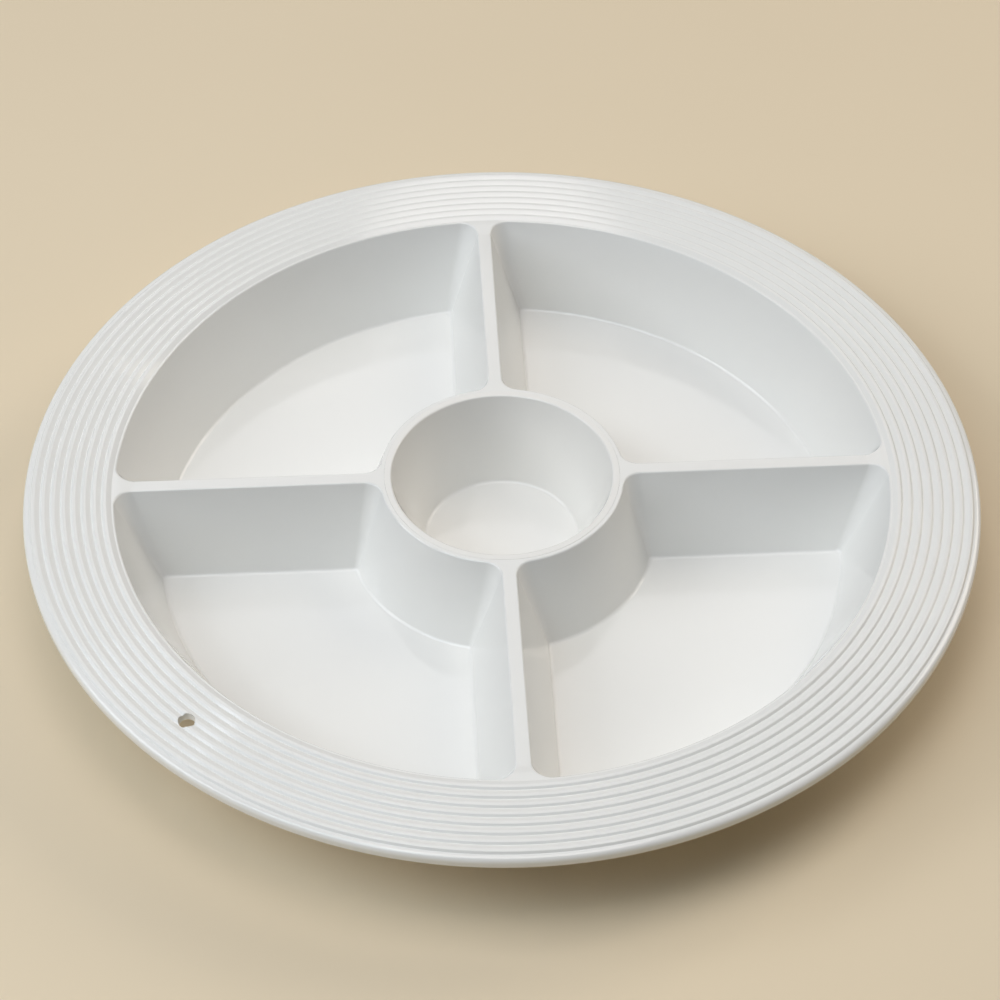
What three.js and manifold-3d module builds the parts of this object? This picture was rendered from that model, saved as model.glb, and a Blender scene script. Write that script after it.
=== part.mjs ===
// Divided serving tray: a moulded round tray with a ribbed rim, four drafted wells and a ring in the
// middle whose socket holds a loose dip cup. Millimetres, +Z up. The tray stands on z = 0, its centre is
// on the Z axis, and the four dividers run along X and Y.

import * as THREE from 'three';
import { mergeVertices } from 'three/addons/utils/BufferGeometryUtils.js';
import Module from 'manifold-3d';

// Overall sizes
const trayRadius = 180;
const rimWidth = 33.4;
const wall = 2.5;

// Rim: a step above the deck, with concentric ribs between a narrow inner lip and a plain outer band, and
// a bead that turns down at the edge
const rimRise = 0.9;
const innerLipWidth = 0.6;
const firstFlankWidth = 1.15;
const outerBandWidth = 2.6;
const ribCount = 8;
const ribFlank = 0.7;
const grooveWidth = 0.6;
const ribHeight = 0.7;
const rimEdgeHeight = 4.5;
const rimEdgeRound = 2;
const rimBeadRound = 1;
const rimBeadWidth = 3;
const rimBeadSlope = 1.2;

// Hang hole in the rim, on the diagonal of the front left well
const hangHoleRadius = 3;
const hangHoleFromEdge = 17;
const hangHoleAngle = 225;

// Wells and the dividers between them, with drafts in degrees
const wellCount = 4;
const wellDepth = 35;
const dividerTopWidth = 5.2;
const outerWallDraft = 23.7;
const dividerDraft = 19;
const ringDraft = 18.8;
const cornerRadius = 7;
const floorCornerRadius = 2;
const floorFillet = 1.6;
const edgeRound = 0.8;

// Dip cup, with its floor a little below the well floors, and the ring and socket that it stands in. Its
// lip lies in a rebate of the ring, almost flush with the deck.
const cupMouthRadius = 42;
const cupFloorBelow = 0.4;
const cupDraft = 19;
const cupWall = 1.7;
const cupFloorFillet = 1.6;
const cupLipWidth = 2.5;
const cupLipDepth = 0.7;
const cupLipRise = 0.15;
const cupLipRound = 0.8;
const seatGap = 0.3;
const lipGap = 0.1;
const ringTopWidth = 1.6;

// Foot ridges under the wells, with the angle that each keeps from the dividers
const footInset = 12;
const footWidth = 3;
const footMargin = 15;
const footClearance = 1;

// Finish
const trayColor = 0xe9e8e4;
const cupColor = 0xebeae6;
const plasticRoughness = 0.38;

// Facets
const rimFacets = 72;
const cupFacets = 64;
const outerArcSteps = 15;
const innerArcSteps = 8;
const cornerSteps = 4;
const roundSteps = 2;
const footArcSteps = 10;
const footEndSteps = 4;
const holeFacets = 20;

const radians = THREE.MathUtils.degToRad;

// Derived sizes. A drop is a depth below the deck, the level of the divider tops.
const wellRadius = trayRadius - rimWidth;
const wellBottomDrop = wellDepth + wall;
const cupFloorDrop = wellDepth + cupFloorBelow;
const socketGrowth = cupWall + seatGap;
const socketBottomDrop = cupFloorDrop + socketGrowth + wall;
const cupLipRadius = cupMouthRadius + cupLipWidth;
const rebateRadius = cupLipRadius + lipGap;
const ringRadius = rebateRadius + ringTopWidth;
const deckZ = socketBottomDrop + footClearance;
const rimZ = deckZ + rimRise;
const ribZ = rimZ + ribHeight;
const cutAbove = ribZ + ribHeight;

const wasm = await Module();
wasm.setup();

/** A closed solid from a geometry, with shared vertices merged and empty triangles dropped. */
function solidOf(geometry) {
  const bare = geometry.index ? geometry.toNonIndexed() : geometry.clone();
  bare.deleteAttribute('normal');
  bare.deleteAttribute('uv');
  const merged = mergeVertices(bare, 1e-4);
  const corners = merged.index.array;
  const triVerts = [];
  for (let i = 0; i < corners.length; i += 3) {
    const [a, b, c] = corners.slice(i, i + 3);
    if (a !== b && b !== c && c !== a) triVerts.push(a, b, c);
  }
  const vertProperties = new Float32Array(merged.attributes.position.array);
  return new wasm.Manifold(
    new wasm.Mesh({ numProp: 3, vertProperties, triVerts: new Uint32Array(triVerts) }),
  );
}

/** The geometry of a solid. */
function geometryOf(solid) {
  const mesh = solid.getMesh();
  const geometry = new THREE.BufferGeometry();
  geometry.setAttribute('position', new THREE.BufferAttribute(mesh.vertProperties, 3));
  geometry.setIndex(new THREE.BufferAttribute(mesh.triVerts, 1));
  geometry.computeVertexNormals();
  return geometry;
}

/** A solid of revolution about Z from [radius, height] points that run up the outside to the axis. */
function revolve(points, facets) {
  const profile = points.map(([radius, height]) => new THREE.Vector2(radius, height));
  return solidOf(new THREE.LatheGeometry(profile, facets).rotateX(Math.PI / 2));
}

/** Points of an arc about a centre, from one angle to another in radians. */
function arc(x, y, radius, from, to, steps) {
  return new THREE.EllipseCurve(x, y, radius, radius, from, to, to < from).getPoints(steps);
}

/** A solid through a stack of level outlines, each { z, points } with as many points, listed upwards. */
function loft(levels) {
  const count = levels[0].points.length;
  const position = levels.flatMap(({ z, points }) => points.flatMap((p) => [p.x, p.y, z]));
  const index = [];
  for (let level = 0; level < levels.length - 1; level += 1) {
    for (let i = 0; i < count; i += 1) {
      const a = level * count + i;
      const b = level * count + ((i + 1) % count);
      index.push(a, b, b + count, a, b + count, a + count);
    }
  }
  const last = (levels.length - 1) * count;
  for (const [a, b, c] of THREE.ShapeUtils.triangulateShape(levels[0].points, [])) {
    index.push(a, c, b);
  }
  for (const [a, b, c] of THREE.ShapeUtils.triangulateShape(levels.at(-1).points, [])) {
    index.push(last + a, last + b, last + c);
  }
  const geometry = new THREE.BufferGeometry();
  geometry.setAttribute('position', new THREE.Float32BufferAttribute(position, 3));
  geometry.setIndex(index);
  return solidOf(geometry);
}

/** How far a drafted wall has come in from its top edge at a drop, with a rounded edge and floor fillet. */
function wallInset(drop, depth, draft, round, fillet) {
  const slope = radians(draft);
  if (drop < round * (1 - Math.sin(slope))) {
    const start = (1 - Math.sin(slope)) * Math.tan(slope) - Math.cos(slope);
    return round * (start + Math.sqrt(1 - (1 - drop / round) ** 2));
  }
  const height = depth - drop;
  if (height < fillet * (1 - Math.sin(slope))) {
    const centre = (1 - Math.sin(slope)) / Math.cos(slope);
    return depth * Math.tan(slope) + fillet * (centre - Math.sqrt(1 - (1 - height / fillet) ** 2));
  }
  return drop * Math.tan(slope);
}

/** Drops at which a floor fillet is stepped, listed upwards from the floor. */
function filletDrops(depth, fillet) {
  const steps = roundSteps + 1;
  const turns = Array.from({ length: steps }, (_, i) => (Math.PI / 2) * (1 - i / steps));
  return turns.map((turn) => depth - fillet * (1 - Math.sin(turn)));
}

/** Drops at which a rounded top edge is stepped, listed upwards to the deck. */
function edgeDrops(round) {
  const turns = Array.from({ length: roundSteps + 1 }, (_, i) => (Math.PI / 2) * (1 - i / roundSteps));
  return turns.map((turn) => round * (1 - Math.cos(turn)));
}

/** Outline of a well beside the X axis: two arcs about the centre, two sides and round corners. */
function wellOutline(outer, side, inner, corner) {
  const sector = (2 * Math.PI) / wellCount;
  const level = side + corner;
  const outerX = Math.sqrt((outer - corner) ** 2 - level ** 2);
  const innerX = Math.sqrt((inner + corner) ** 2 - level ** 2);
  const outerTurn = Math.atan2(level, outerX);
  const innerTurn = Math.atan2(level, innerX);
  const near = [
    ...arc(innerX, level, corner, Math.PI + innerTurn, 1.5 * Math.PI, cornerSteps),
    ...arc(outerX, level, corner, -Math.PI / 2, outerTurn, cornerSteps),
  ];
  const far = near.toReversed().map(({ x, y }) => new THREE.Vector2(
    x * Math.cos(sector) + y * Math.sin(sector),
    x * Math.sin(sector) - y * Math.cos(sector),
  ));
  return [
    ...near,
    ...arc(0, 0, outer, outerTurn, sector - outerTurn, outerArcSteps).slice(1, -1),
    ...far,
    ...arc(0, 0, inner, sector - innerTurn, innerTurn, innerArcSteps).slice(1, -1),
  ];
}

/** Outline of a well, or of its outside when grown by a wall, at a drop below the deck. */
function wellLevel(drop, depth, grown, round, fillet) {
  const inset = (draft) => wallInset(drop, depth, draft, round, fillet) - grown / Math.cos(radians(draft));
  const points = wellOutline(
    wellRadius - inset(outerWallDraft),
    dividerTopWidth / 2 + inset(dividerDraft),
    ringRadius + inset(ringDraft),
    THREE.MathUtils.lerp(cornerRadius, floorCornerRadius, drop / depth) + grown,
  );
  return { z: deckZ - drop, points };
}

/** The hollow of one well, open above the deck. */
function wellHollow() {
  const drops = [...filletDrops(wellDepth, floorFillet), ...edgeDrops(edgeRound)];
  const levels = drops.map((drop) => wellLevel(drop, wellDepth, 0, edgeRound, floorFillet));
  return loft([...levels, { z: cutAbove, points: levels.at(-1).points }]);
}

/** The outside of one well, from its underside up into the deck. */
function wellOutside() {
  const fillet = floorFillet + wall;
  const drops = [...filletDrops(wellBottomDrop, fillet), wall / 2];
  return loft(drops.map((drop) => wellLevel(drop, wellBottomDrop, wall, 0, fillet)));
}

/** Rim and deck in one disc: stepped up under the rim, ribbed above, with a bead at the edge. */
function rimDisc() {
  const lip = wellRadius + innerLipWidth;
  const firstRib = lip + firstFlankWidth - ribFlank;
  const lastRib = trayRadius - outerBandWidth;
  const pitch = (lastRib - firstRib + grooveWidth) / ribCount;
  const step = firstRib + wall;
  const bead = trayRadius - rimBeadWidth;
  const beadZ = rimZ - rimEdgeHeight;
  const rounds = [
    ...arc(trayRadius - rimBeadRound, beadZ + rimBeadRound, rimBeadRound, -Math.PI / 2, 0, roundSteps),
    ...arc(trayRadius - rimEdgeRound, rimZ - rimEdgeRound, rimEdgeRound, 0, Math.PI / 2, roundSteps),
  ];
  const points = [
    [0, deckZ - wall],
    [step, deckZ - wall],
    [step + rimRise, rimZ - wall],
    [bead, rimZ - wall],
    [bead + rimBeadSlope, beadZ],
    ...rounds.map((p) => [p.x, p.y]),
  ];
  for (let i = ribCount - 1; i >= 0; i -= 1) {
    const start = firstRib + i * pitch;
    const end = start + pitch - grooveWidth;
    points.push([end, rimZ], [end - ribFlank, ribZ], [start + ribFlank, ribZ]);
    points.push(i > 0 ? [start, rimZ] : [lip, deckZ]);
  }
  points.push([0, deckZ]);
  return revolve(points, rimFacets);
}

/** Profile up the inside of the cup, or up a shell that lies outside it by a growth, to the last drop. */
function cupProfile(grown, lastDrop) {
  const depth = cupFloorDrop + grown;
  const fillet = cupFloorFillet + grown;
  const mouth = cupMouthRadius + grown / Math.cos(radians(cupDraft));
  const drops = [...filletDrops(depth, fillet), lastDrop];
  const rise = drops.map((drop) => [mouth - wallInset(drop, depth, cupDraft, 0, fillet), deckZ - drop]);
  return [[0, deckZ - depth], ...rise];
}

/** The hollow in the ring that the cup stands in, with the rebate of its lip, open above the deck. */
function socketHollow() {
  const ledgeDrop = cupLipDepth + lipGap;
  const profile = cupProfile(socketGrowth, ledgeDrop);
  const rebate = [[rebateRadius, deckZ - ledgeDrop], [rebateRadius, cutAbove], [0, cutAbove]];
  return revolve([...profile, ...rebate], cupFacets);
}

/** The outside of the socket, up into the deck. */
function socketOutside() {
  const profile = cupProfile(socketGrowth + wall, wall / 2);
  return revolve([...profile, [0, deckZ - wall / 2]], cupFacets);
}

/** The dip cup: a tapered round cup with a flat lip, eased inside, and a filleted floor. */
function dipCup() {
  const lipZ = deckZ + cupLipRise;
  const slope = radians(cupDraft);
  const easeX = cupMouthRadius + (cupLipRise - cupLipRound) * Math.tan(slope) + cupLipRound / Math.cos(slope);
  const ease = arc(easeX, lipZ - cupLipRound, cupLipRound, Math.PI / 2, Math.PI - slope, roundSteps);
  const lip = [[cupLipRadius, deckZ - cupLipDepth], [cupLipRadius, lipZ], ...ease.map((p) => [p.x, p.y])];
  const inside = cupProfile(0, cupLipDepth).slice(0, -1);
  return revolve([...cupProfile(cupWall, cupLipDepth), ...lip, ...inside.toReversed()], cupFacets);
}

/** An arc ridge with round ends that stands one well on the table. */
function footRidge() {
  const radius = wellRadius - wellDepth * Math.tan(radians(outerWallDraft)) - footInset;
  const half = footWidth / 2;
  const from = radians(footMargin);
  const to = radians(360 / wellCount - footMargin);
  const end = (angle, turn) => arc(
    radius * Math.cos(angle), radius * Math.sin(angle), half, turn, turn + Math.PI, footEndSteps,
  ).slice(1, -1);
  const outline = new THREE.Shape([
    ...arc(0, 0, radius + half, from, to, footArcSteps),
    ...end(to, to),
    ...arc(0, 0, radius - half, to, from, footArcSteps),
    ...end(from, from + Math.PI),
  ]);
  const depth = deckZ - wellBottomDrop + wall / 2;
  return solidOf(new THREE.ExtrudeGeometry(outline, { depth, bevelEnabled: false }));
}

/** The cutter of the hang hole, through the rim. */
function hangHole() {
  const reach = trayRadius - hangHoleFromEdge;
  const angle = radians(hangHoleAngle);
  const pin = new THREE.CylinderGeometry(hangHoleRadius, hangHoleRadius, 4 * rimEdgeHeight, holeFacets);
  pin.rotateX(Math.PI / 2);
  pin.translate(reach * Math.cos(angle), reach * Math.sin(angle), deckZ);
  return solidOf(pin);
}

/** A solid repeated round the centre, once for each well. */
function aroundWells(solid) {
  return Array.from({ length: wellCount }, (_, i) => solid.rotate([0, 0, (360 / wellCount) * i]));
}

/** The tray: rim, wells, ring and feet in one moulding. */
function trayBody() {
  const joined = [...aroundWells(wellOutside()), socketOutside(), ...aroundWells(footRidge())];
  const cut = [...aroundWells(wellHollow()), socketHollow(), hangHole()];
  const solid = joined.reduce((body, part) => body.add(part), rimDisc());
  return cut.reduce((body, part) => body.subtract(part), solid);
}

/** A named piece with its own plastic. */
function piece(name, solid, color) {
  const material = new THREE.MeshStandardMaterial({ color, roughness: plasticRoughness, metalness: 0 });
  const mesh = new THREE.Mesh(geometryOf(solid), material);
  mesh.name = name;
  return mesh;
}

const tray = new THREE.Group();
tray.add(piece('tray_body', trayBody(), trayColor));
tray.add(piece('dip_cup', dipCup(), cupColor));

export default tray;
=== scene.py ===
"""Divided serving tray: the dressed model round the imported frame, with its floor, lights and camera.

Metres, +Z up. The tray stands on z = 0 with its centre on the Z axis, and its dividers run along X and Y.
"""

import logging
import math
from dataclasses import dataclass, field
from enum import Enum
from typing import Any, Iterable

import bmesh
import bpy
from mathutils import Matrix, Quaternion, Vector


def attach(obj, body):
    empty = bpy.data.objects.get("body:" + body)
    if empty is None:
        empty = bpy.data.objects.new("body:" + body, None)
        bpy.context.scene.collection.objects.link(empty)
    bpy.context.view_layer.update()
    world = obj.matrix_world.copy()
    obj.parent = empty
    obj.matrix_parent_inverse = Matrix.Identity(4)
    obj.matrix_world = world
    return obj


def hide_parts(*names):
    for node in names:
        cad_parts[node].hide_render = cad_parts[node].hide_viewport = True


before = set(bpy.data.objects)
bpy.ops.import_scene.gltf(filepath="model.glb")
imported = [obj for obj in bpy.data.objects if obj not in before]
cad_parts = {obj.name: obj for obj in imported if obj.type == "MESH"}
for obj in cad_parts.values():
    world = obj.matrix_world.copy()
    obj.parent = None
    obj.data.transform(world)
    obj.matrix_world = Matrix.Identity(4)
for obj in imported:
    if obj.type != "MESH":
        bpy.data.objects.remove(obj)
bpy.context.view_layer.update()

MM = 0.001
MERGE_DISTANCE = 1e-6
QUARTER = math.pi / 2
SHARP_ANGLE = math.radians(40)
FLAT_FACE_WEIGHT = 80
NOISE_MIDDLE = 0.5

log = logging.getLogger("serving_tray")

Point = tuple[float, float]
Outline = list[Vector]
Colour = tuple[float, float, float, float]
Owner = bpy.types.Material | bpy.types.World


class Piece(Enum):
    """The finished pieces, by name."""

    TRAY = "serving_tray"
    CUP = "lift_out_dip_cup"


class Body(Enum):
    """The CAD bodies that the pieces ride on."""

    TRAY = "tray"
    CUP = "cup"


class Node(Enum):
    """The CAD nodes that the pieces stand for."""

    TRAY = "tray_body"
    CUP = "dip_cup"


class Slot(Enum):
    """The material slots, by name."""

    TRAY = "tray_plastic"
    CUP = "cup_plastic"


class Join(Enum):
    """How a tool changes the piece that it meets."""

    ADD = "UNION"
    CUT = "DIFFERENCE"


class Value:
    """A shader socket whose Python operators add Math nodes."""

    def __init__(self, graph: "Graph", socket: bpy.types.NodeSocket) -> None:
        """Wraps one output socket of a graph."""
        self.graph = graph
        self.socket = socket

    def _math(self, operation: str, first: Any, second: Any) -> "Value":
        """One Math node on two terms."""
        return self.graph.node("ShaderNodeMath", {"operation": operation}, {0: first, 1: second})

    def __add__(self, other: Any) -> "Value":
        """This value plus another."""
        return self._math("ADD", self, other)

    def __radd__(self, other: Any) -> "Value":
        """A number plus this value."""
        return self._math("ADD", other, self)

    def __sub__(self, other: Any) -> "Value":
        """This value minus another."""
        return self._math("SUBTRACT", self, other)

    def __rsub__(self, other: Any) -> "Value":
        """A number minus this value."""
        return self._math("SUBTRACT", other, self)

    def __mul__(self, other: Any) -> "Value":
        """This value times another."""
        return self._math("MULTIPLY", self, other)

    def __rmul__(self, other: Any) -> "Value":
        """A number times this value."""
        return self._math("MULTIPLY", other, self)


class Graph:
    """The node tree of one material or world, emptied and filled node by node."""

    def __init__(self, owner: Owner) -> None:
        """Empties the owner's tree.

        Args:
            owner: The new material or world.
        """
        self.owner = owner
        self.owner.use_nodes = True
        self.tree = self.owner.node_tree
        self.tree.nodes.clear()

    def node(
        self,
        kind: str,
        settings: dict[str, Any] | None = None,
        inputs: dict[str | int, Any] | None = None,
        output: str | int = 0,
    ) -> Value:
        """Adds a node, sets it up and feeds its sockets.

        Args:
            kind: The node's type.
            settings: Properties set first.
            inputs: Numbers, colours or values for its sockets, by name or place.
            output: The output socket to hand back.

        Returns:
            That output as a value.
        """
        made = self.tree.nodes.new(kind)
        for name, setting in (settings or {}).items():
            setattr(made, name, setting)
        for name, given in (inputs or {}).items():
            if isinstance(given, Value):
                self.tree.links.new(given.socket, made.inputs[name])
            else:
                made.inputs[name].default_value = given
        return Value(self, made.outputs[output])

    def blend(self, share: Value, first: Any, second: Any) -> Value:
        """A colour that goes from a first to a second by a share."""
        return self.node("ShaderNodeMix", {"data_type": "RGBA"}, {0: share, 6: first, 7: second}, 2)

    def noise(self, place: Value, scale: float, detail: float, roughness: float) -> Value:
        """A noise over a piece's own coordinates, from 0 to 1."""
        inputs = {"Vector": place, "Scale": scale, "Detail": detail, "Roughness": roughness}
        return self.node("ShaderNodeTexNoise", {}, inputs, "Fac")

    def surface(self, shader: Value) -> Owner:
        """Sends a shader to the owner's surface and returns the owner."""
        kind = "World" if isinstance(self.owner, bpy.types.World) else "Material"
        end = self.tree.nodes.new(f"ShaderNodeOutput{kind}")
        self.tree.links.new(shader.socket, end.inputs["Surface"])
        return self.owner


def linear(red: int, green: int, blue: int) -> Colour:
    """A colour in scene light from its 8-bit screen numbers, by the sRGB curve.

    Args:
        red: Screen red, 0 to 255.
        green: Screen green, 0 to 255.
        blue: Screen blue, 0 to 255.

    Returns:
        The linear colour with full alpha.
    """
    def channel(level: int) -> float:
        """One channel from screen to linear."""
        share = level / 255
        return share / 12.92 if share <= 0.04045 else ((share + 0.055) / 1.055) ** 2.4

    return channel(red), channel(green), channel(blue), 1.0


@dataclass(frozen=True)
class SatinPlastic:
    """White moulded plastic with a satin gloss, faint flow mottling and a fine grain."""

    name: str
    pale: Colour
    deep: Colour
    roughness: float = 0.09
    roughness_spread: float = 0.04
    refraction: float = 1.55
    mottle_scale: float = 22.0
    mottle_detail: float = 4.0
    mottle_share: float = 0.6
    grain_scale: float = 1600.0
    grain_detail: float = 2.0
    grain_depth: float = 0.004 * MM
    wave_scale: float = 14.0
    wave_detail: float = 1.0
    wave_depth: float = 0.03 * MM
    noise_roughness: float = 0.55

    def material(self) -> bpy.types.Material:
        """Builds the plastic's node tree.

        Returns:
            The material.
        """
        graph = Graph(bpy.data.materials.new(self.name))
        place = graph.node("ShaderNodeTexCoord", output="Object")
        mottle = graph.noise(place, self.mottle_scale, self.mottle_detail, self.noise_roughness)
        grain = graph.noise(place, self.grain_scale, self.grain_detail, self.noise_roughness)
        wave = graph.noise(place, self.wave_scale, self.wave_detail, self.noise_roughness)
        colour = graph.blend(mottle, self.pale, self.deep)
        uneven = self.mottle_share * mottle + (1 - self.mottle_share) * grain - NOISE_MIDDLE
        rough = self.roughness + self.roughness_spread * uneven
        height = self.grain_depth * grain + self.wave_depth * wave
        normal = graph.node("ShaderNodeBump", {}, {"Strength": 1.0, "Distance": 1.0, "Height": height})
        shader = graph.node(
            "ShaderNodeBsdfPrincipled",
            {},
            {"Base Color": colour, "Roughness": rough, "Normal": normal, "IOR": self.refraction},
        )
        return graph.surface(shader)


@dataclass(frozen=True)
class FloorPaint:
    """A plain pale matt floor with a faint unevenness, which runs out into an even backdrop."""

    name: str = "pale_floor"
    pale: Colour = linear(232, 217, 190)
    deep: Colour = linear(226, 210, 182)
    backdrop: Colour = linear(213, 199, 172)
    roughness: float = 0.75
    cloud_scale: float = 3.0
    cloud_detail: float = 3.0
    cloud_roughness: float = 0.5
    fade_start: float = 0.6
    fade_end: float = 1.5

    def material(self) -> bpy.types.Material:
        """Builds the floor's node tree.

        Returns:
            The material.
        """
        graph = Graph(bpy.data.materials.new(self.name))
        place = graph.node("ShaderNodeTexCoord", output="Object")
        cloud = graph.noise(place, self.cloud_scale, self.cloud_detail, self.cloud_roughness)
        colour = graph.blend(cloud, self.pale, self.deep)
        paint = graph.node(
            "ShaderNodeBsdfPrincipled", {}, {"Base Color": colour, "Roughness": self.roughness}
        )
        even = graph.node("ShaderNodeEmission", {}, {"Color": self.backdrop})
        reach = graph.node("ShaderNodeVectorMath", {"operation": "LENGTH"}, {0: place}, "Value")
        far = graph.node(
            "ShaderNodeMapRange",
            {"interpolation_type": "SMOOTHSTEP"},
            {"Value": reach, "From Min": self.fade_start, "From Max": self.fade_end},
        )
        seen = graph.node("ShaderNodeLightPath", output="Is Camera Ray")
        mirrored = graph.node("ShaderNodeLightPath", output="Is Glossy Ray")
        share = far * (seen + mirrored)
        return graph.surface(graph.node("ShaderNodeMixShader", {}, {0: share, 1: paint, 2: even}))


class Bench:
    """Mesh work as by hand: rings are laid, extruded, spun, filled, joined and cut."""

    @staticmethod
    def deselect() -> None:
        """Clears the selection in object mode."""
        bpy.ops.object.select_all(action="DESELECT")

    @staticmethod
    def pick(made: bpy.types.Object) -> None:
        """Selects one piece alone and makes it active, in object mode."""
        Bench.deselect()
        made.select_set(True)
        bpy.context.view_layer.objects.active = made

    @staticmethod
    def lay_ring(name: str, points: Outline, fill: bool) -> bpy.types.Object:
        """Adds a circle, opens it for editing and lays its vertices on an outline.

        Args:
            name: The new object's name.
            points: Where the ring's vertices go, in order.
            fill: Whether the ring is closed by a face.

        Returns:
            The object, in edit mode with all of it selected.
        """
        Bench.deselect()
        bpy.ops.mesh.primitive_circle_add(
            vertices=len(points), radius=1.0, fill_type="NGON" if fill else "NOTHING"
        )
        made = bpy.context.object
        made.name = made.data.name = name
        bpy.ops.object.mode_set(mode="EDIT")
        mesh = bmesh.from_edit_mesh(made.data)
        order = mesh.verts.layers.int.new("order")
        mesh.verts.ensure_lookup_table()
        for index, vertex in enumerate(mesh.verts):
            vertex[order] = index
            vertex.co = points[index]
        bmesh.update_edit_mesh(made.data)
        bpy.ops.mesh.select_all(action="SELECT")
        return made

    @staticmethod
    def extrude_to(made: bpy.types.Object, points: Outline) -> None:
        """Extrudes the selected end of a piece and lays the new ring on the next outline.

        Args:
            made: The piece in edit mode.
            points: Where the new ring's vertices go, in the first ring's order.
        """
        bpy.ops.mesh.extrude_region()
        mesh = bmesh.from_edit_mesh(made.data)
        order = mesh.verts.layers.int["order"]
        for vertex in mesh.verts:
            if vertex.select:
                vertex.co = points[vertex[order]]
        bmesh.update_edit_mesh(made.data)

    @staticmethod
    def close(made: bpy.types.Object) -> bpy.types.Object:
        """Merges doubles, turns all faces outwards and leaves edit mode.

        Args:
            made: The piece in edit mode.

        Returns:
            The same piece in object mode.
        """
        bpy.ops.mesh.select_all(action="SELECT")
        bpy.ops.mesh.remove_doubles(threshold=MERGE_DISTANCE)
        bpy.ops.mesh.normals_make_consistent(inside=False)
        bpy.ops.object.mode_set(mode="OBJECT")
        return made

    @staticmethod
    def loft(name: str, outlines: list[Outline]) -> bpy.types.Object:
        """A closed solid through a stack of outlines.

        Args:
            name: The solid's name.
            outlines: Rings of as many points each, from one end to the other.

        Returns:
            The solid.
        """
        made = Bench.lay_ring(name, outlines[0], fill=True)
        for outline in outlines[1:]:
            Bench.extrude_to(made, outline)
        return Bench.close(made)

    @staticmethod
    def turn(name: str, section: list[Point], steps: int) -> bpy.types.Object:
        """A solid turned about Z.

        Args:
            name: The solid's name.
            section: Points (radius, height) whose first and last lie on the axis.
            steps: Facets round the axis.

        Returns:
            The solid.
        """
        made = Bench.lay_ring(name, [Vector((r, 0.0, z)) for r, z in section], fill=False)
        mesh = bmesh.from_edit_mesh(made.data)
        for edge in mesh.edges:
            edge.select_set(all(abs(vertex.co.x) < MERGE_DISTANCE for vertex in edge.verts))
        bmesh.update_edit_mesh(made.data)
        bpy.ops.mesh.delete(type="EDGE")
        bpy.ops.mesh.select_all(action="SELECT")
        bpy.ops.mesh.spin(steps=steps, angle=2 * math.pi, center=(0, 0, 0), axis=(0, 0, 1))
        return Bench.close(made)

    @staticmethod
    def copies_round(made: bpy.types.Object, count: int) -> bpy.types.Object:
        """Repeats a solid round the Z axis and joins the copies.

        Args:
            made: The first solid.
            count: How many there are in all.

        Returns:
            One object that holds them all.
        """
        Bench.pick(made)
        bpy.ops.object.mode_set(mode="EDIT")
        bpy.ops.mesh.select_all(action="SELECT")
        for _ in range(count - 1):
            bpy.ops.mesh.duplicate()
            bpy.ops.transform.rotate(
                value=2 * math.pi / count, orient_axis="Z", center_override=(0.0, 0.0, 0.0)
            )
        bpy.ops.object.mode_set(mode="OBJECT")
        return made

    @staticmethod
    def apply(made: bpy.types.Object, kind: str, **settings: Any) -> None:
        """Adds a modifier to a piece and applies it.

        Args:
            made: The piece.
            kind: The modifier's type.
            **settings: Its properties.
        """
        Bench.pick(made)
        modifier = made.modifiers.new(kind.title(), kind)
        for name, setting in settings.items():
            setattr(modifier, name, setting)
        bpy.ops.object.modifier_apply(modifier=modifier.name)

    @staticmethod
    def combine(made: bpy.types.Object, join: Join, tools: Iterable[bpy.types.Object]) -> None:
        """Joins tools to a piece, or cuts them out of it, and deletes them.

        Args:
            made: The piece.
            join: Whether the tools are added or cut.
            tools: The solids that are used up.
        """
        for tool in tools:
            Bench.apply(made, "BOOLEAN", operation=join.value, object=tool, solver="EXACT")
            bpy.data.objects.remove(tool)

    @staticmethod
    def smooth(made: bpy.types.Object) -> None:
        """Shades a piece smooth below the sharp angle, with flat faces kept flat.

        Args:
            made: The piece.
        """
        Bench.pick(made)
        bpy.ops.object.shade_smooth_by_angle(angle=SHARP_ANGLE)
        Bench.apply(made, "WEIGHTED_NORMAL", mode="FACE_AREA", weight=FLAT_FACE_WEIGHT, keep_sharp=True)


def arc(x: float, y: float, radius: float, start: float, end: float, steps: int) -> list[Point]:
    """Points along an arc.

    Args:
        x: Centre.
        y: Centre.
        radius: Radius.
        start: First angle in radians.
        end: Last angle in radians.
        steps: Number of steps, so one point more.

    Returns:
        The points from first to last.
    """
    turns = [start + (end - start) * step / steps for step in range(steps + 1)]
    return [(x + radius * math.cos(turn), y + radius * math.sin(turn)) for turn in turns]


def rounded(corners: list[tuple[float, float, float]], steps: int) -> list[Point]:
    """An open line through corners, each eased by its own radius.

    Args:
        corners: Points (x, y, radius), where radius 0 stays sharp.
        steps: Steps of each round.

    Returns:
        The points of the line.
    """
    line: list[Point] = []
    for index, (x, y, radius) in enumerate(corners):
        if radius == 0 or index in (0, len(corners) - 1):
            line.append((x, y))
            continue
        here = Vector((x, y))
        back = (Vector(corners[index - 1][:2]) - here).normalized()
        ahead = (Vector(corners[index + 1][:2]) - here).normalized()
        half = back.angle(ahead) / 2
        centre = here + (back + ahead).normalized() * radius / math.sin(half)
        first = here + back * radius / math.tan(half) - centre
        last = here + ahead * radius / math.tan(half) - centre
        turn = first.angle_signed(last)
        start = math.atan2(first.y, first.x)
        line += arc(centre.x, centre.y, radius, start, start - turn, steps)
    return line


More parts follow.
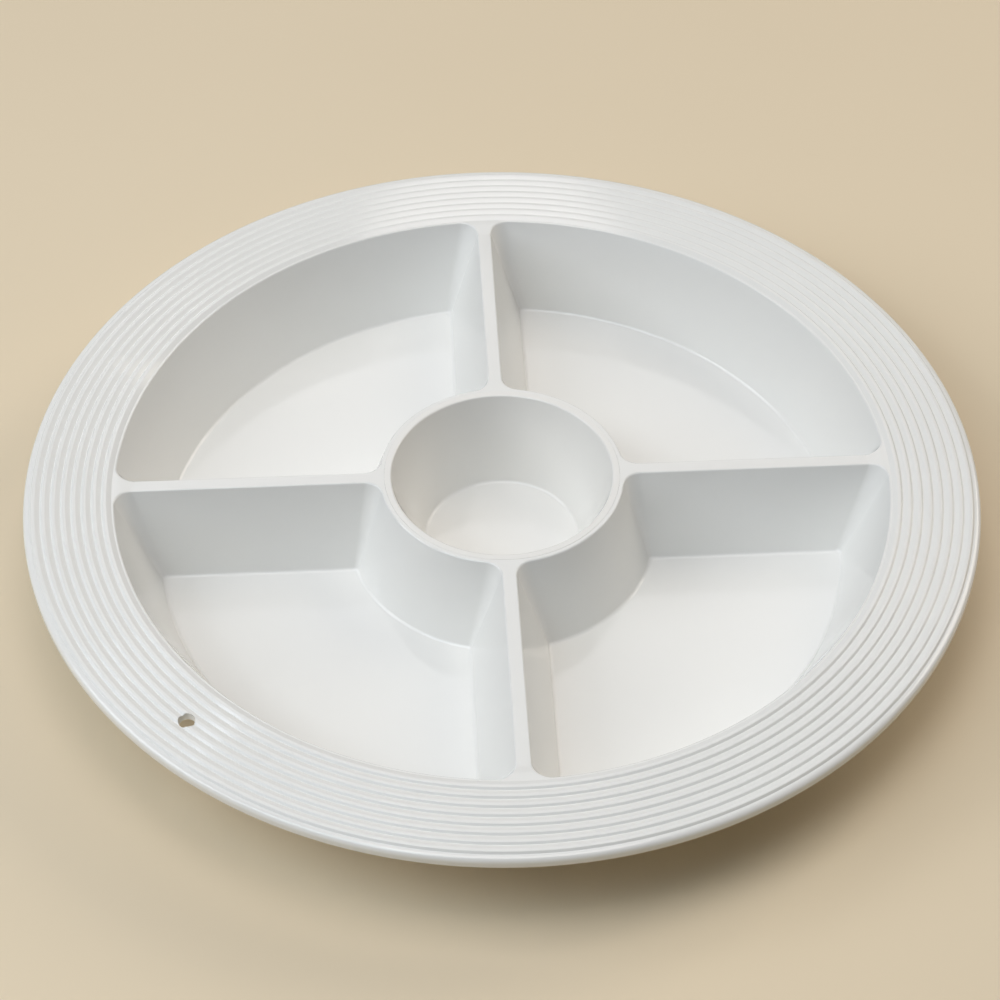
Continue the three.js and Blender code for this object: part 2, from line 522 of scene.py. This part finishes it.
@dataclass(frozen=True)
class DraftedWall:
    """The line of a moulded wall that leans in from its top edge to its floor, with both ends eased."""

    depth: float
    draft: float
    edge_round: float = 0.0
    floor_fillet: float = 0.0

    def inset(self, drop: float) -> float:
        """How far the wall has come in at a drop below its top.

        Args:
            drop: Depth below the top edge.

        Returns:
            The distance in from the top edge; below zero where the edge flares out.
        """
        sine, cosine, slope = math.sin(self.draft), math.cos(self.draft), math.tan(self.draft)
        if drop < self.edge_round * (1 - sine):
            start = (1 - sine) * slope - cosine
            return self.edge_round * (start + math.sqrt(1 - (1 - drop / self.edge_round) ** 2))
        height = max(0.0, self.depth - drop)
        if height < self.floor_fillet * (1 - sine):
            centre = (1 - sine) / cosine
            rise = math.sqrt(1 - (1 - height / self.floor_fillet) ** 2)
            return self.depth * slope + self.floor_fillet * (centre - rise)
        return drop * slope

    def drops(self, edge_steps: int, wall_steps: int, floor_steps: int) -> list[float]:
        """Drops at which the wall is stepped, from the floor up to the top edge.

        Args:
            edge_steps: Steps of the edge round.
            wall_steps: Steps of the straight wall.
            floor_steps: Steps of the floor fillet.

        Returns:
            The drops, listed upwards.
        """
        reach = QUARTER - self.draft
        low = [
            self.depth - self.floor_fillet * (1 - math.cos(reach * step / floor_steps))
            for step in range(floor_steps + 1)
        ]
        high = [
            self.edge_round * (1 - math.cos(reach * step / edge_steps))
            for step in range(edge_steps, -1, -1)
        ]
        between = [
            low[-1] + (high[0] - low[-1]) * step / wall_steps for step in range(1, wall_steps)
        ]
        return low + between + high


@dataclass
class DipCup:
    """The loose round cup in the middle of the tray, and the socket that fits it."""

    deck: float
    well_depth: float
    mouth_radius: float = 42.0 * MM
    floor_below: float = 0.4 * MM
    draft: float = math.radians(19)
    wall: float = 1.7 * MM
    floor_fillet: float = 1.6 * MM
    seat_gap: float = 0.3 * MM
    lip_radius: float = 44.57 * MM
    lip_rise: float = 0.05 * MM
    lip_depth: float = 0.7 * MM
    lip_gap: float = 0.03 * MM
    lip_inner_round: float = 0.8 * MM
    lip_outer_round: float = 0.06 * MM
    facets: int = 180
    wall_steps: int = 2
    round_steps: int = 8
    finish: SatinPlastic = field(
        default=SatinPlastic("cup_satin_plastic", linear(236, 235, 231), linear(233, 232, 228))
    )

    @property
    def floor_drop(self) -> float:
        """Depth of the cup's floor below the deck."""
        return self.well_depth + self.floor_below

    @property
    def socket_growth(self) -> float:
        """How far the socket lies outside the inside of the cup."""
        return self.wall + self.seat_gap

    def mouth(self, grown: float) -> float:
        """Radius at the deck of a shell that lies outside the cup's inside by a growth."""
        return self.mouth_radius + grown / math.cos(self.draft)

    def shell(self, grown: float, top_drop: float) -> list[Point]:
        """Section up the inside of the cup, or up a shell outside it.

        Args:
            grown: How far the shell lies outside the cup's inside.
            top_drop: Drop at which the shell ends.

        Returns:
            Points (radius, height) from the axis to the top.
        """
        wall = DraftedWall(self.floor_drop + grown, self.draft, 0.0, self.floor_fillet + grown)
        drops = wall.drops(edge_steps=1, wall_steps=self.wall_steps, floor_steps=self.round_steps)
        drops = [drop for drop in drops if drop > top_drop] + [top_drop]
        rise = [(self.mouth(grown) - wall.inset(drop), self.deck - drop) for drop in drops]
        return [(0.0, self.deck - wall.depth), *rise]

    def socket_hollow(self, above: float) -> bpy.types.Object:
        """The cutter of the socket and of the rebate that takes the cup's lip.

        Args:
            above: Height of the cutter's top.

        Returns:
            The cutter.
        """
        radius, ease = self.lip_radius + self.lip_gap, self.lip_outer_round
        ledge = self.lip_depth + self.lip_gap
        section = self.shell(self.socket_growth, ledge)
        edge = arc(radius + ease, self.deck - ease, ease, math.pi, QUARTER, self.round_steps // 2)[:-1]
        top = [(radius, self.deck - ledge), *edge, (edge[-1][0], above), (0.0, above)]
        return Bench.turn("socket_hollow", [*section, *top], self.facets)

    def socket_outside(self, wall: float) -> bpy.types.Object:
        """The outside of the socket, up into the deck.

        Args:
            wall: Thickness of the tray's wall.

        Returns:
            The solid.
        """
        section = self.shell(self.socket_growth + wall, wall / 2)
        return Bench.turn("socket_outside", [*section, (0.0, section[-1][1])], self.facets)

    def build(self) -> bpy.types.Object:
        """Turns the cup with its eased lip.

        Returns:
            The cup.
        """
        top = self.deck + self.lip_rise
        outside = self.shell(self.wall, self.lip_depth)
        inside = self.shell(0.0, self.lip_depth)[1:]
        inner = self.mouth(0.0) + self.lip_rise * math.tan(self.draft)
        lip = rounded(
            [
                (*outside[-1], 0.0),
                (self.lip_radius, self.deck - self.lip_depth, self.lip_outer_round),
                (self.lip_radius, top, self.lip_outer_round),
                (inner, top, self.lip_inner_round),
                (*inside[-1], 0.0),
            ],
            self.round_steps,
        )
        section = [*outside[:-1], *lip[:-1], *reversed(inside), (0.0, self.deck - self.floor_drop)]
        cup = Bench.turn(Piece.CUP.value, section, self.facets)
        Bench.smooth(cup)
        return cup

    def dress(self, cup: bpy.types.Object) -> None:
        """Gives the cup its plastic and seats it in the frame.

        Args:
            cup: The built cup.
        """
        cup.data.materials.append(self.finish.material())
        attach(cup, Body.CUP.value)
        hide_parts(Node.CUP.value)


@dataclass
class ServingTray:
    """The one-piece moulding: ribbed rim, four drafted wells, ring with its socket, hang hole and feet."""

    radius: float = 180.0 * MM
    rim_width: float = 33.8 * MM
    wall: float = 2.5 * MM
    foot_clearance: float = 1.0 * MM
    rim_rise: float = 0.75 * MM
    ramp_start: float = 138.5 * MM
    ramp_end: float = 145.0 * MM
    inner_lip: float = 0.8 * MM
    outer_band: float = 2.6 * MM
    rib_count: int = 8
    rib_inner_flank: float = 1.9 * MM
    rib_outer_flank: float = 0.75 * MM
    rib_height: float = 0.85 * MM
    rib_round: float = 0.6 * MM
    groove_round: float = 0.25 * MM
    edge_height: float = 4.5 * MM
    edge_round: float = 2.0 * MM
    bead_round: float = 1.0 * MM
    bead_width: float = 3.0 * MM
    bead_slope: float = 1.2 * MM
    hole_radius: float = 3.0 * MM
    hole_from_edge: float = 17.0 * MM
    hole_angle: float = math.radians(225)
    well_count: int = 4
    well_depth: float = 35.0 * MM
    divider_top: float = 5.2 * MM
    outer_draft: float = math.radians(23.2)
    divider_draft: float = math.radians(19.0)
    ring_draft: float = math.radians(18.8)
    top_corner: float = 7.0 * MM
    floor_corner: float = 2.0 * MM
    floor_fillet: float = 1.6 * MM
    well_edge_round: float = 0.8 * MM
    ring_radius: float = 46.2 * MM
    foot_inset: float = 12.0 * MM
    foot_width: float = 3.0 * MM
    foot_margin: float = math.radians(15)
    foot_round: float = 0.5 * MM
    rim_facets: int = 240
    round_steps: int = 4
    wall_steps: int = 4
    fillet_steps: int = 8
    corner_steps: int = 8
    ramp_steps: int = 12
    outer_steps: int = 64
    inner_steps: int = 28
    hole_facets: int = 48
    finish: SatinPlastic = field(
        default=SatinPlastic("tray_satin_plastic", linear(235, 235, 232), linear(232, 232, 229))
    )
    cup: DipCup = field(init=False)

    def __post_init__(self) -> None:
        """Works out the deck's height from the depth of the wells and of the socket under the cup."""
        self.cup = DipCup(0.0, self.well_depth)
        depth = self.cup.floor_drop + self.cup.socket_growth + self.wall
        self.deck = self.cup.deck = depth + self.foot_clearance
        self.well_radius = self.radius - self.rim_width
        self.rim = self.deck + self.rim_rise
        self.above = self.rim + 2 * self.rib_height
        self.sector = 2 * math.pi / self.well_count

    def lift(self, radius: float) -> float:
        """How far the top has risen from the divider tops to the rim at a radius."""
        share = min(1.0, max(0.0, (radius - self.ramp_start) / (self.ramp_end - self.ramp_start)))
        return self.rim_rise * share * share * (3 - 2 * share)

    def rim_section(self) -> list[Point]:
        """Section of the rim and deck: flat below, with a turned-down bead, and ribbed above.

        Returns:
            Points (radius, height) from the axis below to the axis above.
        """
        under, top = self.deck - self.wall, self.rim + self.rib_height
        bead = self.radius - self.bead_width
        low = self.rim - self.edge_height
        first = self.well_radius + self.inner_lip
        last = self.radius - self.outer_band
        corners = [
            (0.0, under, 0.0),
            (first + self.wall, under, self.bead_round),
            (first + self.wall + self.rim_rise, under + self.rim_rise, self.bead_round),
            (bead, under + self.rim_rise, self.bead_round),
            (bead + self.bead_slope, low, self.groove_round),
            (self.radius, low, self.bead_round),
            (self.radius, self.rim, self.edge_round),
        ]
        pitch = (last - first) / self.rib_count
        for index in reversed(range(self.rib_count)):
            start = first + index * pitch
            end = start + pitch
            corners += [
                (end, self.rim, self.groove_round),
                (end - self.rib_outer_flank, top, self.rib_round),
                (start + self.rib_inner_flank, top, self.rib_round),
            ]
        corners.append((first, self.rim, self.groove_round))
        span = self.ramp_end - self.ramp_start
        for step in range(self.ramp_steps + 1):
            reach = self.ramp_end - span * step / self.ramp_steps
            corners.append((reach, self.deck + self.lift(reach), 0.0))
        return rounded([*corners, (0.0, self.deck, 0.0)], self.round_steps)

    def well_outline(self, outer: float, side: float, inner: float, corner: float, z: float) -> Outline:
        """Outline of a well beside the X axis: two arcs about the centre, two sides, round corners.

        Args:
            outer: Radius of the arc under the rim.
            side: Distance of the sides from the dividers' middle planes.
            inner: Radius of the arc round the ring.
            corner: Radius of the corners.
            z: Height of the outline.

        Returns:
            The ring of points, anticlockwise.
        """
        level = side + corner
        outer_x = math.sqrt((outer - corner) ** 2 - level**2)
        inner_x = math.sqrt((inner + corner) ** 2 - level**2)
        outer_turn, inner_turn = math.atan2(level, outer_x), math.atan2(level, inner_x)
        near = [
            *arc(inner_x, level, corner, math.pi + inner_turn, 1.5 * math.pi, self.corner_steps),
            *arc(outer_x, level, corner, -QUARTER, outer_turn, self.corner_steps),
        ]
        cosine, sine = math.cos(self.sector), math.sin(self.sector)
        far = [(x * cosine + y * sine, x * sine - y * cosine) for x, y in reversed(near)]
        points = [
            *near,
            *arc(0, 0, outer, outer_turn, self.sector - outer_turn, self.outer_steps)[1:-1],
            *far,
            *arc(0, 0, inner, self.sector - inner_turn, inner_turn, self.inner_steps)[1:-1],
        ]
        return [Vector((x, y, z)) for x, y in points]

    def well_levels(self, grown: float, edge_round: float, top_drop: float) -> list[Outline]:
        """Outlines of a well, or of its outside when grown by the wall, from its floor upwards.

        Args:
            grown: How far the outside lies from the hollow.
            edge_round: Round of the top edge.
            top_drop: Drop of the last outline below the deck.

        Returns:
            The outlines, listed upwards.
        """
        depth, fillet = self.well_depth + grown, self.floor_fillet + grown
        walls = {
            draft: DraftedWall(depth, draft, edge_round, fillet)
            for draft in (self.outer_draft, self.divider_draft, self.ring_draft)
        }

        def inset(drop: float, draft: float) -> float:
            """Inset of one wall at a drop, less its growth."""
            return walls[draft].inset(drop) - grown / math.cos(draft)

        drops = walls[self.divider_draft].drops(self.round_steps, self.wall_steps, self.fillet_steps)
        drops = [drop for drop in drops if drop > top_drop] + [top_drop]
        levels = []
        for drop in drops:
            corner = self.top_corner + (self.floor_corner - self.top_corner) * drop / depth + grown
            levels.append(
                self.well_outline(
                    self.well_radius - inset(drop, self.outer_draft),
                    self.divider_top / 2 + inset(drop, self.divider_draft),
                    self.ring_radius + inset(drop, self.ring_draft),
                    corner,
                    self.deck - drop,
                )
            )
        for drop, level in zip(drops, levels):
            share = 1 - drop / depth
            for point, edge in zip(level, levels[-1]):
                point.z += share * self.lift(math.hypot(edge.x, edge.y))
        return levels

    def well_hollows(self) -> bpy.types.Object:
        """The cutters of all the wells, which leave the edge round just below the deck and go straight up."""
        levels = self.well_levels(0.0, self.well_edge_round, 0.0)[:-1]
        lid = [Vector((point.x, point.y, self.above)) for point in levels[-1]]
        return Bench.copies_round(Bench.loft("well_hollow", [*levels, lid]), self.well_count)

    def well_outsides(self) -> bpy.types.Object:
        """The outsides of all the wells, up into the deck."""
        levels = self.well_levels(self.wall, 0.0, self.wall / 2)
        return Bench.copies_round(Bench.loft("well_outside", levels), self.well_count)

    def foot_ridges(self) -> bpy.types.Object:
        """The arc ridges with round ends that the wells stand on.

        Returns:
            All the ridges in one object.
        """
        radius = self.well_radius - self.well_depth * math.tan(self.outer_draft) - self.foot_inset
        start, end = self.foot_margin, self.sector - self.foot_margin
        height = self.deck - self.well_depth - self.wall / 2

        def outline(half: float, z: float) -> Outline:
            """The ridge's outline of a half width at a height."""
            far = (radius * math.cos(end), radius * math.sin(end))
            near = (radius * math.cos(start), radius * math.sin(start))
            points = [
                *arc(0, 0, radius + half, start, end, self.inner_steps),
                *arc(*far, half, end, end + math.pi, self.corner_steps)[1:-1],
                *arc(0, 0, radius - half, end, start, self.inner_steps),
                *arc(*near, half, start + math.pi, start + 2 * math.pi, self.corner_steps)[1:-1],
            ]
            return [Vector((x, y, z)) for x, y in points]

        half, ease = self.foot_width / 2, self.foot_round
        turns = [QUARTER * step / self.round_steps for step in range(self.round_steps + 1)]
        foot = [
            outline(half - ease * (1 - math.sin(turn)), ease * (1 - math.cos(turn))) for turn in turns
        ]
        return Bench.copies_round(Bench.loft("foot_ridge", [*foot, outline(half, height)]), self.well_count)

    def hang_hole(self) -> bpy.types.Object:
        """The cutter of the hang hole, through the rim."""
        reach = self.radius - self.hole_from_edge
        x, y = reach * math.cos(self.hole_angle), reach * math.sin(self.hole_angle)
        ring = arc(x, y, self.hole_radius, 0.0, 2 * math.pi, self.hole_facets)[:-1]
        levels = [self.deck - self.edge_height, self.above]
        return Bench.loft("hang_hole", [[Vector((px, py, z)) for px, py in ring] for z in levels])

    def build(self) -> bpy.types.Object:
        """Joins the rim, wells, socket and feet, and cuts the hollows.

        Returns:
            The tray.
        """
        tray = Bench.turn(Piece.TRAY.value, self.rim_section(), self.rim_facets)
        outsides = [self.well_outsides(), self.cup.socket_outside(self.wall), self.foot_ridges()]
        Bench.combine(tray, Join.ADD, outsides)
        hollows = [self.well_hollows(), self.cup.socket_hollow(self.above), self.hang_hole()]
        Bench.combine(tray, Join.CUT, hollows)
        Bench.smooth(tray)
        return tray

    def dress(self, tray: bpy.types.Object) -> None:
        """Gives the tray its plastic and seats it in the frame.

        Args:
            tray: The built tray.
        """
        tray.data.materials.append(self.finish.material())
        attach(tray, Body.TRAY.value)
        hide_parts(Node.TRAY.value)


def direction(azimuth: float, elevation: float) -> Vector:
    """The way from the tray to a viewer or lamp.

    Args:
        azimuth: Degrees round Z, where 0 is on the -Y side and 90 on the +X side.
        elevation: Degrees above the floor.

    Returns:
        A unit vector.
    """
    turn, rise = math.radians(azimuth), math.radians(elevation)
    return Vector(
        (math.sin(turn) * math.cos(rise), -math.cos(turn) * math.cos(rise), math.sin(rise))
    )


@dataclass(frozen=True)
class SoftBox:
    """A square studio lamp aimed at the tray."""

    name: str
    azimuth: float
    elevation: float
    size: float
    watts: float
    colour: tuple[float, float, float]
    distance: float = 2.0

    def add(self, target: Vector) -> None:
        """Hangs the lamp and turns it to its target.

        Args:
            target: The point that it is aimed at.
        """
        lamp = bpy.data.lights.new(self.name, "AREA")
        lamp.shape = "SQUARE"
        lamp.size = self.size
        lamp.energy = self.watts
        lamp.color = self.colour
        hung = bpy.data.objects.new(self.name, lamp)
        bpy.context.scene.collection.objects.link(hung)
        back = direction(self.azimuth, self.elevation)
        hung.location = target + back * self.distance
        hung.rotation_mode = "QUATERNION"
        hung.rotation_quaternion = back.to_track_quat("Z", "Y")


@dataclass
class Studio:
    """The floor, the lamps, the world's light and the camera."""

    deck: float
    floor_half: float = 6.0
    azimuth: float = -3.1
    elevation: float = 46.2
    roll: float = math.radians(0.1)
    distance: float = 0.9636
    aim: Point = (-0.0015, -0.0142)
    lens: float = 92.6
    sensor: float = 36.0
    clip: Point = (0.01, 50.0)
    floor_paint: FloorPaint = FloorPaint()
    ambient: Colour = (0.93, 0.96, 1.0, 1.0)
    ambient_strength: float = 0.005
    mirrored_strength: float = 0.75
    backdrop_strength: float = 1.0
    lamps: tuple[SoftBox, ...] = (
        SoftBox("overhead", 0.0, 85.0, 1.0, 11.0, (1.0, 0.94, 0.915)),
        SoftBox("front_left", 314.0, 58.0, 1.0, 10.2, (0.795, 0.915, 1.0)),
        SoftBox("left", 276.0, 36.0, 1.2, 16.7, (0.93, 0.955, 1.0)),
        SoftBox("right", 120.0, 38.0, 1.0, 12.0, (1.0, 0.91, 0.785)),
        SoftBox("back", 177.0, 53.0, 1.0, 3.0, (1.0, 0.97, 0.965)),
    )

    def build(self) -> None:
        """Lays the floor, hangs the lamps and sets the camera."""
        self._floor()
        self._world()
        target = Vector((0.0, 0.0, self.deck / 2))
        for lamp in self.lamps:
            lamp.add(target)
        self._camera()

    def _floor(self) -> None:
        """A wide plain floor that the tray stands on."""
        Bench.deselect()
        bpy.ops.mesh.primitive_plane_add(size=2 * self.floor_half)
        floor = bpy.context.object
        floor.name = floor.data.name = "studio_floor"
        floor.data.materials.append(self.floor_paint.material())

    def _world(self) -> None:
        """A faint even light, with a pale room in the gloss and the backdrop behind the floor."""
        graph = Graph(bpy.data.worlds.new("studio_light"))
        seen = graph.node("ShaderNodeLightPath", output="Is Camera Ray")
        mirrored = graph.node("ShaderNodeLightPath", output="Is Glossy Ray")
        faint = self._sky(graph, self.ambient, self.ambient_strength)
        room = self._sky(graph, self.ambient, self.mirrored_strength)
        backdrop = self._sky(graph, self.floor_paint.backdrop, self.backdrop_strength)
        unseen = graph.node("ShaderNodeMixShader", {}, {0: mirrored, 1: faint, 2: room})
        light = graph.node("ShaderNodeMixShader", {}, {0: seen, 1: unseen, 2: backdrop})
        bpy.context.scene.world = graph.surface(light)

    @staticmethod
    def _sky(graph: Graph, colour: Colour, strength: float) -> Value:
        """A world light of one colour and strength."""
        return graph.node("ShaderNodeBackground", {}, {"Color": colour, "Strength": strength})

    def _camera(self) -> None:
        """The camera at the photograph's angle."""
        camera = bpy.data.cameras.new("camera")
        camera.lens = self.lens
        camera.sensor_width = self.sensor
        camera.clip_start, camera.clip_end = self.clip
        placed = bpy.data.objects.new("camera", camera)
        bpy.context.scene.collection.objects.link(placed)
        back = direction(self.azimuth, self.elevation)
        placed.location = Vector((*self.aim, self.deck)) + back * self.distance
        placed.rotation_mode = "QUATERNION"
        level = (-back).to_track_quat("-Z", "Y")
        placed.rotation_quaternion = level @ Quaternion((0.0, 0.0, 1.0), self.roll)
        bpy.context.scene.camera = placed


def main() -> None:
    """Builds the tray, its cup and the studio, in that order."""
    logging.basicConfig(level=logging.INFO, format="%(message)s")
    bpy.context.scene.view_settings.view_transform = "Standard"
    tray = ServingTray()
    Studio(tray.deck).build()
    for maker in (tray, tray.cup):
        made = maker.build()
        maker.dress(made)
        log.info("%s: %d faces", made.name, len(made.data.polygons))


if __name__ == "__main__":
    main()
